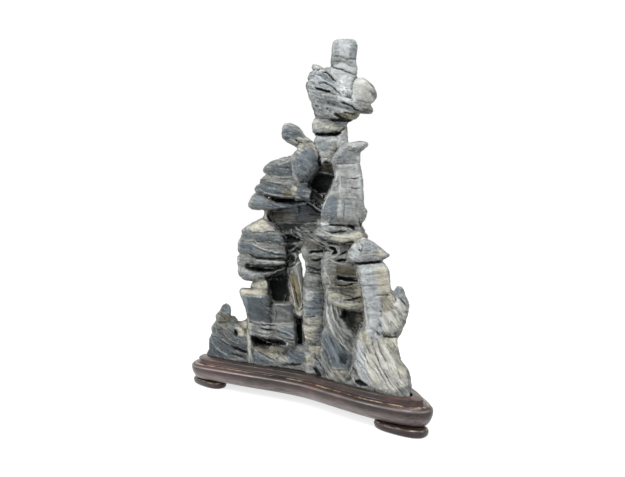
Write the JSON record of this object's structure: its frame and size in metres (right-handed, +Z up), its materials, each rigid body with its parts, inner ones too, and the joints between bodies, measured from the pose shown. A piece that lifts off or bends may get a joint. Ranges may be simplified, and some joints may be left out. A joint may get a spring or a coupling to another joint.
{
  "type": "scholars rock",
  "caption": "Upright natural stone of folded, pierced and overhanging strata, seated in the carved recess of a low leaf-shaped hardwood stand on oval pads.",
  "frame": {"origin": "middle of the base, on the surface that the four pads stand on", "axes": "+X along the stand to the right, +Y towards the back, +Z up"},
  "size_m": [0.3096, 0.0936, 0.3658],
  "materials": {
    "stone": "weathered, matt, slate grey with pale veins and ochre hollows",
    "wood": "satin, dark purplish brown, worn at the ledge"
  },
  "bodies": {
    "root": {"stone": "stone", "stand_body": "wood", "pad_front_left": "wood", "pad_front_right": "wood", "pad_back_left": "wood", "pad_back_right": "wood"}
  },
  "joints": []
}
